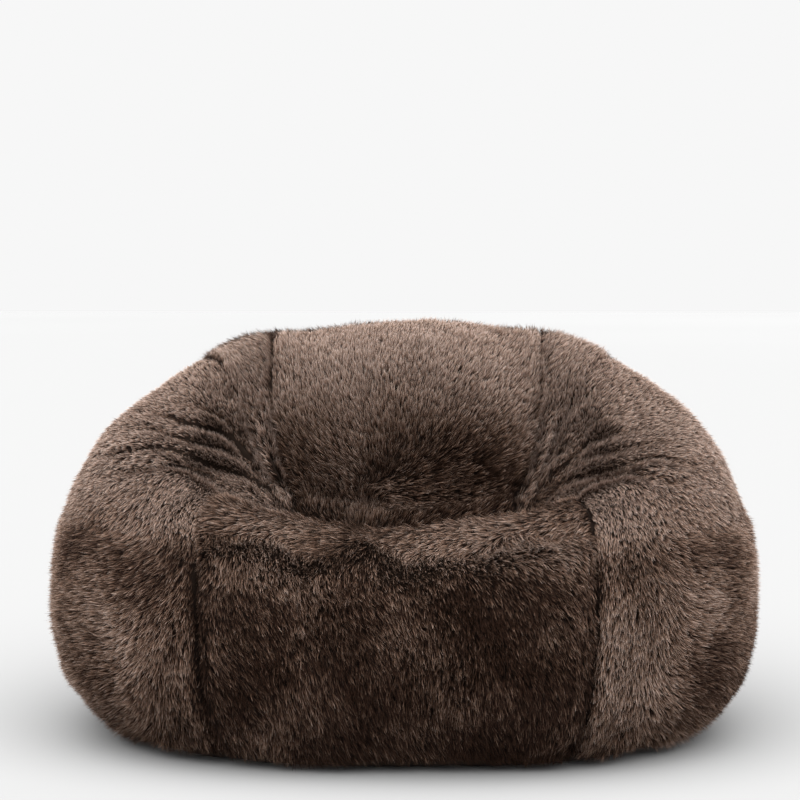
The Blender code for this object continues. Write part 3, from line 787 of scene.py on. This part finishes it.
def skin_samples(body, number, fields, rng):
    """Evenly scattered tuft roots on one panel, with the skin's fields at each."""
    mesh = body.data
    points = point_array(mesh)
    rings = np.array([list(f.vertices) for f in mesh.polygons if f.material_index == number])
    triangles = np.vstack([rings[:, (0, 1, 2)], rings[:, (0, 2, 3)]])
    corner = points[triangles]
    area = 0.5 * np.linalg.norm(np.cross(corner[:, 1] - corner[:, 0],
                                         corner[:, 2] - corner[:, 0]), axis=1)
    count = int(area.sum() / GUIDE_AREA)
    steps = (np.arange(count) + rng.random(count)) / count * area.sum()
    chosen = np.minimum(np.searchsorted(np.cumsum(area), steps), len(area) - 1)
    a = rng.random(count)
    b = rng.random(count)
    over = a + b > 1.0
    a[over] = 1.0 - a[over]
    b[over] = 1.0 - b[over]
    weights = np.stack([1.0 - a - b, a, b], axis=1)[:, :, None]
    ids = triangles[chosen]
    roots = (points[ids] * weights).sum(axis=1)
    found = {name: (values[ids] * weights).sum(axis=1) for name, values in fields.items()}
    found["up"] = unit(found["up"])
    # Creases thin and shorten the pile and carry painted shade, and rolls carry a painted highlight
    if "side_panel" in PANELS[number]:
        crease, roll_highlight = arm_folds(roots, found["up"], FOLD_LINE)
    else:
        crease = roll_highlight = np.zeros(len(roots))
    found["crease"] = crease[:, None]
    found["roll"] = roll_highlight[:, None]
    return roots, found


def noise_field(points, scale, shift):
    """Smooth noise of one value per point. Each shift gives another pattern."""
    offset = Vector((shift, 2.3 * shift, 4.7 * shift))
    return np.array([noise.noise(Vector(p) * scale + offset) for p in points])


def from_fan(p):
    """From the seat's back corner on the same side to each point."""
    centre = np.array(FAN_CENTRE) * np.ones_like(p)
    centre[:, 0] *= np.sign(p[:, 0])
    return p - centre


def fan_share(p):
    """How far each point belongs to the folded part of an arm."""
    fan = from_fan(p)
    reach = np.hypot(fan[:, 0], fan[:, 2])
    near = falling(reach / FAN_REACH, 1.25, 0.3)
    return near * rising(p[:, 2], 0.33, 0.02) * (p[:, 1] < 0.2)


# Each of these sets how one panel's pile lies at the points p, and may change its lift

def front_lay(p, lay, lift):
    """Down the front, and swept sideways over the roll along its top edge."""
    x, z = p[:, 0], p[:, 2]
    edge = z - 0.35 * x ** 2 + 0.030 * noise_field(p, 11.0, 12.0)
    roll = rising(edge, 0.318, 0.012)
    inner = falling(np.abs(x), 0.27, 0.08)
    lay[:, 0] = 0.35 - 1.4 * roll * inner
    lay[:, 2] = 0.60 * roll * inner - 1.0
    lift -= 0.38 * roll
    lift += 0.55 * bell(edge, 0.305, 0.016)
    lift += 0.42 * np.exp(-((x - 0.08) / 0.16) ** 2 - ((z - 0.17) / 0.09) ** 2)


def seat_lay(p, lay, lift):
    """To the back of the seat, but sideways along its front edge as on the roll."""
    edge = falling(p[:, 1], -0.27, 0.06)
    lay[:, 0] = -1.0 * edge
    lay[:, 1] = 1.0 - 1.5 * edge
    lay[:, 2] = -0.3 * edge
    lift -= 0.38 * edge


def backrest_lay(p, lay, lift):
    """Up and a little outwards, flatter towards the crest."""
    high = rising(p[:, 2], 0.36, 0.17)
    lay[:, 0] = 0.6 * np.clip((p[:, 0] + 0.03) / 0.22, -1.0, 1.0) + 0.25
    lay[:, 1] = 0.8
    lay[:, 2] = 0.60 + 0.50 * high
    lift += 0.30 * (1.0 - high) - 0.22 * high


def gusset_lay(p, lay, lift):
    """Up and outwards beside the backrest."""
    lay[:, 0] = np.sign(p[:, 0]) * 0.7
    lay[:, 1] = 0.3
    lay[:, 2] = 0.8
    lift -= 0.25


def side_lay(p, lay, lift):
    """Outwards and down around the sides, and away from the seat's corner among the folds."""
    x, y = p[:, 0], p[:, 1]
    out = np.clip((np.abs(x) - 0.34) / 0.09, -0.4, 1.0) * np.where(y < 0.0, 1.0, 0.6)
    lay[:, 0] = np.sign(x) * out
    lay[:, 1] = 0.45 * np.clip(out, 0.0, 1.0)
    lay[:, 2] = -0.30 - 0.6 * (1.0 - np.clip(out, 0.0, 1.0))
    share = fan_share(p)
    lay += 3.0 * share[:, None] * unit(from_fan(p))
    lift -= 0.30 * share


def rear_lay(p, lay, lift):
    """Down the back and a little outwards."""
    lay[:, 0] = np.sign(p[:, 0]) * 0.2
    lay[:, 2] = -1.0


LAYS = {"front_panel": front_lay, "seat_panel": seat_lay, "backrest_panel": backrest_lay,
        "left_gusset": gusset_lay, "right_gusset": gusset_lay,
        "left_side_panel": side_lay, "right_side_panel": side_lay,
        "rear_panel": rear_lay, "rear_hem_panel": rear_lay}


def brushed(panel, p):
    """The way that the pile lies on a panel, before it is laid on the surface, and its lift."""
    lay = np.zeros_like(p)
    lift = np.full(len(p), PILE_LIFT)
    LAYS[panel](p, lay, lift)
    return lay, lift


def unit(vectors):
    """Vectors scaled to length one."""
    return vectors / np.maximum(np.linalg.norm(vectors, axis=1), 1e-9)[:, None]


def laid(direction, normals):
    """Directions turned into the surface."""
    flat = direction - (direction * normals).sum(axis=1)[:, None] * normals
    return unit(flat)


def panel_tone_and_painted_light(panel, p):
    """How light a panel's tips are, with painted light and shade: gussets and crest lightest, low front
    darkest.
    """
    x, z = p[:, 0], p[:, 2]
    tone = np.full(len(p), PILE_TONE)
    # Painted light: the gussets and the arms' tops face the light from above
    if "gusset" in panel:
        tone += 0.90
    if "side_panel" in panel:
        tone += 0.50 * rising(z, 0.30, 0.10)
    # Painted light on the crest, and painted shade on the lower backrest with two darker spots above the
    # seat
    if panel == "backrest_panel":
        tone += 0.27 + 0.44 * np.clip((z - 0.45) / 0.09, -0.65, 1.0)
        tone -= 0.40 * np.exp(-((np.abs(x + 0.02) - 0.15) / 0.05) ** 2
                              - ((z - 0.41) / 0.05) ** 2)
    # Painted shade darkens the low front, its right half and the top of its roll
    if panel == "front_panel":
        tone -= 0.36 * falling(z, 0.31, 0.06)
        tone -= 0.10 * rising(z, 0.33, 0.02)
        tone -= 0.26 * rising(x, -0.10, 0.2) * (z < 0.30)
    return tone


def unevenness(panel, roots, folded):
    """How strongly the pile strays from the way that it is brushed."""
    stray = np.full((len(roots), 1), 0.75 if "side_panel" in panel else 1.1)
    if "side_panel" in panel:
        stray -= 0.52 * folded[:, None]
    if panel == "backrest_panel":
        stray += 0.35 * np.clip((0.46 - roots[:, 2:]) / 0.06, -1.0, 1.0) - 0.25
    return stray


def parted(flow, away, line):
    """The flow turned away from the seams, where the line is strong."""
    across = unit(away)
    flow -= (line * (flow * across).sum(axis=1))[:, None] * across
    flow += 0.55 * line[:, None] * across
    return flow


def tuft_guides(panel, roots, found, rng):
    """Each tuft's flow over the surface, lift, length and tone, the tone with painted light and shade.
    """
    crease = np.clip(found["crease"][:, 0], 0.0, 1.0)
    roll_highlight = np.clip(found["roll"][:, 0], 0.0, 1.0)
    near = found["hem"][:, 0] * (0.3 if "gusset" in panel else 1.0)
    folded = fan_share(roots) if "side_panel" in panel else np.zeros(len(roots))
    standing = rising(roots[:, 2], 0.03, 0.03)
    lay, lift = brushed(panel, roots)

    swirl = np.stack([noise_field(roots, 6.5, k) for k in (1.0, 2.0, 3.0)], axis=1)
    flutter = np.stack([noise_field(roots, 48.0, k) for k in (4.0, 5.0, 6.0)], axis=1)
    flow = unit(lay + unevenness(panel, roots, folded) * (0.90 * swirl + 0.32 * flutter))
    flow = laid(parted(flow, found["away"], standing * found["line"][:, 0]), found["up"])

    lift = lift + 0.40 * noise_field(roots, 22.0, 7.0) + 0.14 * rng.standard_normal(len(roots))
    lift = lift + 0.15 * crease - 0.25 * near

    length = PILE_LENGTH * (1.0 + 0.20 * noise_field(roots, 14.0, 8.0))
    length *= (1.0 - 0.45 * near) * (1.0 - 0.60 * crease) * (1.0 - 0.25 * folded)
    length *= 1.25 - 0.25 * standing
    length *= np.clip(found["opening"][:, 0] / ZIP_BARE, 0.30, 1.0)

    tone = panel_tone_and_painted_light(panel, roots) + 0.58 * noise_field(roots, 9.0, 9.0)
    tone += 0.40 * noise_field(roots, 4.0, 13.0)
    tone += 0.26 * (1.0 - 0.6 * folded) * noise_field(roots, 50.0, 10.0)
    tone += 0.14 * rng.standard_normal(len(roots))
    # Painted highlight on the rolls between folds, painted shade in the creases and along the seams
    tone += 0.65 * roll_highlight - 1.20 * crease - 0.50 * near
    # Painted light on the folded part of each arm, which faces up to the light
    tone += 0.38 * folded
    return flow, lift, length, tone


def tufts(body, number, fields, rng):
    """One panel's tuft roots and fields, without those at the bottom of creases and seams."""
    roots, found = skin_samples(body, number, fields, rng)
    dip = np.maximum(0.88 * found["crease"][:, 0], found["hem"][:, 0])
    bare = dip > 0.45 + 0.4 * rng.random(len(roots))
    return roots[~bare], {name: values[~bare] for name, values in found.items()}


def grow_panel(body, number, fields, rng):
    """All strands of one panel: their roots, middles, tips, normals and tones."""
    roots, found = tufts(body, number, fields, rng)
    flow, lift, length, tone = tuft_guides(PANELS[number], roots, found, rng)

    def spread(values):
        return np.repeat(values, PER_TUFT, axis=0)

    count = len(roots) * PER_TUFT
    n = spread(found["up"])
    f = spread(flow)
    s = np.cross(n, f)
    radius = TUFT_RADIUS * np.sqrt(rng.random(count))
    turn = 2.0 * np.pi * rng.random(count)
    across = (radius * np.cos(turn))[:, None]
    along = (radius * np.sin(turn))[:, None]
    base = spread(roots) + s * across + f * along - n * ROOT_DEPTH
    rise = spread(lift) + 0.20 * rng.standard_normal(count)
    first = np.clip(rise + START_LIFT, 0.25, 1.5)[:, None]
    second = np.clip(rise + END_LIFT, 0.02, 1.35)[:, None]
    stray = STRAY * rng.standard_normal((count, 3))
    start_way = unit(f * np.cos(first) + n * np.sin(first) + 0.5 * stray)
    end_way = unit(f * np.cos(second) + n * np.sin(second) + stray)
    reach = (spread(length) * (0.72 + 0.40 * rng.random(count)))[:, None]
    gather = -s * across - f * along
    middle = base + start_way * reach * MIDDLE_SHARE + gather * GATHER_MIDDLE
    tip = middle + end_way * reach * (1.0 - MIDDLE_SHARE) + gather * GATHER_TIP
    # Each fibre's tone: its tuft's tone, painted light and shade included, with a random spread
    shade = np.clip(spread(tone) + 0.26 * rng.standard_normal(count), 0.02, 0.98)
    tip[:, 2] = np.maximum(tip[:, 2], LOWEST_STRAND)
    middle[:, 2] = np.maximum(middle[:, 2], LOWEST_STRAND)
    return base, middle, tip, n, shade


def strand_outline(base, middle, tip, side, width):
    """The points of every strand: two at the root, two wider ones at the middle, and the tip."""
    points = np.empty((len(base), STRAND_POINTS, 3))
    points[:, 0] = base - side * width * 0.30
    points[:, 1] = base + side * width * 0.30
    points[:, 2] = middle + side * width * 0.50
    points[:, 3] = middle - side * width * 0.50
    points[:, 4] = tip
    return points


def repeated(pattern, count, step):
    """A pattern of indices for each of count strands, moved on by the step each time."""
    starts = np.arange(count)[:, None] * step
    return (starts + np.array(pattern)).astype(np.int32).ravel()


def strand_mesh(name, base, middle, tip, normals, shade, rng):
    """A mesh of flat tapered fibres with soft normals."""
    count = len(base)
    way = unit(tip - base)
    side = unit(np.cross(way, normals))
    roll = 0.6 * rng.standard_normal(count)
    flat = unit(np.cross(side, way))
    side = side * np.cos(roll)[:, None] + flat * np.sin(roll)[:, None]
    width = STRAND_WIDTH * (0.7 + 0.6 * rng.random(count))[:, None]
    points = strand_outline(base, middle, tip, side, width)
    corners = len(STRAND_CORNERS)
    mesh = bpy.data.meshes.new(name)
    mesh.vertices.add(count * STRAND_POINTS)
    mesh.vertices.foreach_set("co", points.astype(np.float32).ravel())
    mesh.loops.add(count * corners)
    mesh.loops.foreach_set("vertex_index", repeated(STRAND_CORNERS, count, STRAND_POINTS))
    mesh.polygons.add(count * len(STRAND_FACES))
    mesh.polygons.foreach_set("loop_start", repeated(STRAND_FACES, count, corners))
    layout = mesh.uv_layers.new(name=STRAND_LAYOUT)
    across = np.clip(shade[:, None] + np.array(CORNER_SIDES) * LAYOUT_HALF, 0.0, 1.0)
    along = np.broadcast_to(np.array(CORNER_HEIGHTS), across.shape)
    layout.data.foreach_set("uv", np.stack([across, along], axis=2).astype(np.float32).ravel())
    mesh.update(calc_edges=True)
    soft = unit(normals - (normals * way).sum(axis=1)[:, None] * way
                + 0.60 * side * rng.standard_normal(count)[:, None])
    soft = np.repeat(soft, STRAND_POINTS, axis=0).astype(np.float32)
    store = mesh.attributes.new("custom_normal", "FLOAT_VECTOR", "POINT")
    store.data.foreach_set("vector", soft.ravel())
    obj = bpy.data.objects.new(name, mesh)
    bpy.context.scene.collection.objects.link(obj)
    return obj


def add_pile(body, fields):
    """Grow the pile on every fur panel."""
    material = pile_material()
    rng = np.random.default_rng(SEED)
    for number, panel in enumerate(FUR_PANELS):
        parts = grow_panel(body, number, fields, rng)
        pieces = int(math.ceil(len(parts[0]) / PIECE_STRANDS))
        for k in range(pieces):
            chosen = slice(k, None, pieces)
            name = panel + "_pile_" + str(k + 1)
            pile = strand_mesh(name, *[values[chosen] for values in parts], rng)
            pile.data.materials.append(material)
            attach(pile, "bag")


def add_skins(body):
    """Every cover panel's skin in place of its plain solid."""
    backing = backing_material()
    base = weave_material("base_weave", (0.006, 0.004, 0.003), (0.022, 0.016, 0.012), 260.0, 0.85)
    for number, name in enumerate(PANELS):
        skin = panel_skin(body, number)
        fur = name in FUR_PANELS
        skin.data.materials.clear()
        skin.data.materials.append(backing if fur else base)
        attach(skin, "bag")
        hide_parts(name)


def dress_cad():
    """Better materials on the CAD pieces whose shape is right."""
    looks = {
        "zip_tape": weave_material("tape_weave", (0.008, 0.005, 0.0035), (0.042, 0.028, 0.020),
                                   700.0, 0.90),
        "zip_teeth": speckle_material("teeth_plastic", (0.014, 0.009, 0.006),
                                      (0.046, 0.032, 0.024), 420.0, 0.42),
        "zip_metal": speckle_material("plated_metal", (0.085, 0.072, 0.062),
                                      (0.33, 0.295, 0.265), 380.0, 0.33, 1.0),
        "label_satin": weave_material("label_cloth", (0.66, 0.65, 0.62), (0.88, 0.87, 0.84),
                                      900.0, 0.50),
    }
    slots = {entry["node"]: entry["material_slot"] for entry in frame["record"]["subparts"]}
    for name, node in frame["nodes"].items():
        if slots[name] in looks:
            for slot in node.material_slots:
                slot.material = looks[slots[name]]


# Studio

def add_camera():
    """A camera in front of the chair, a little above its middle."""
    lens = bpy.data.cameras.new("camera")
    lens.lens = LENS
    lens.shift_y = LENS_SHIFT
    camera = bpy.data.objects.new("camera", lens)
    tilt = math.radians(CAMERA_TILT)
    turn = math.radians(CAMERA_TURN)
    back = Vector((math.sin(turn) * math.cos(tilt), -math.cos(turn) * math.cos(tilt),
                   math.sin(tilt)))
    camera.location = Vector(CAMERA_TARGET) + back * CAMERA_DISTANCE
    camera.rotation_euler = (-back).to_track_quat("-Z", "Y").to_euler()
    bpy.context.scene.collection.objects.link(camera)
    bpy.context.scene.camera = camera


def add_lights():
    """Broad soft light from above and a little in front, and a pale sky."""
    data = bpy.data.lights.new("overhead", "SUN")
    data.energy = SUN_STRENGTH
    data.angle = math.radians(SUN_SPREAD)
    light = bpy.data.objects.new("overhead", data)
    light.rotation_euler = Vector(SUN_AIM).to_track_quat("-Z", "Y").to_euler()
    bpy.context.scene.collection.objects.link(light)
    world = bpy.data.worlds.new("studio")
    world.use_nodes = True
    sky = world.node_tree.nodes["Background"]
    sky.inputs["Color"].default_value = (1.0, 1.0, 1.0, 1.0)
    sky.inputs["Strength"].default_value = SKY_STRENGTH
    bpy.context.scene.world = world


def add_floor():
    """A wide pale floor without any shine."""
    corners = [(-1.0, -1.0, 0.0), (1.0, -1.0, 0.0), (1.0, 1.0, 0.0), (-1.0, 1.0, 0.0)]
    floor = mesh_object("floor", np.array(corners) * FLOOR_HALF, [[0, 1, 2, 3]])
    pale = speckle_material("pale_floor", (0.332, 0.332, 0.332), (0.344, 0.344, 0.344), 3.0, 0.9)
    pale.node_tree.nodes["Principled BSDF"].inputs["Specular IOR Level"].default_value = 0.0
    floor.data.materials.append(pale)


bpy.context.scene.view_settings.view_transform = "Standard"
add_camera()
add_lights()
add_floor()
skin_body, skin_fields = sewn_body()
add_skins(skin_body)
add_insides(skin_body)
add_pile(skin_body, skin_fields)
dress_cad()
bpy.data.objects.remove(skin_body, do_unlink=True)
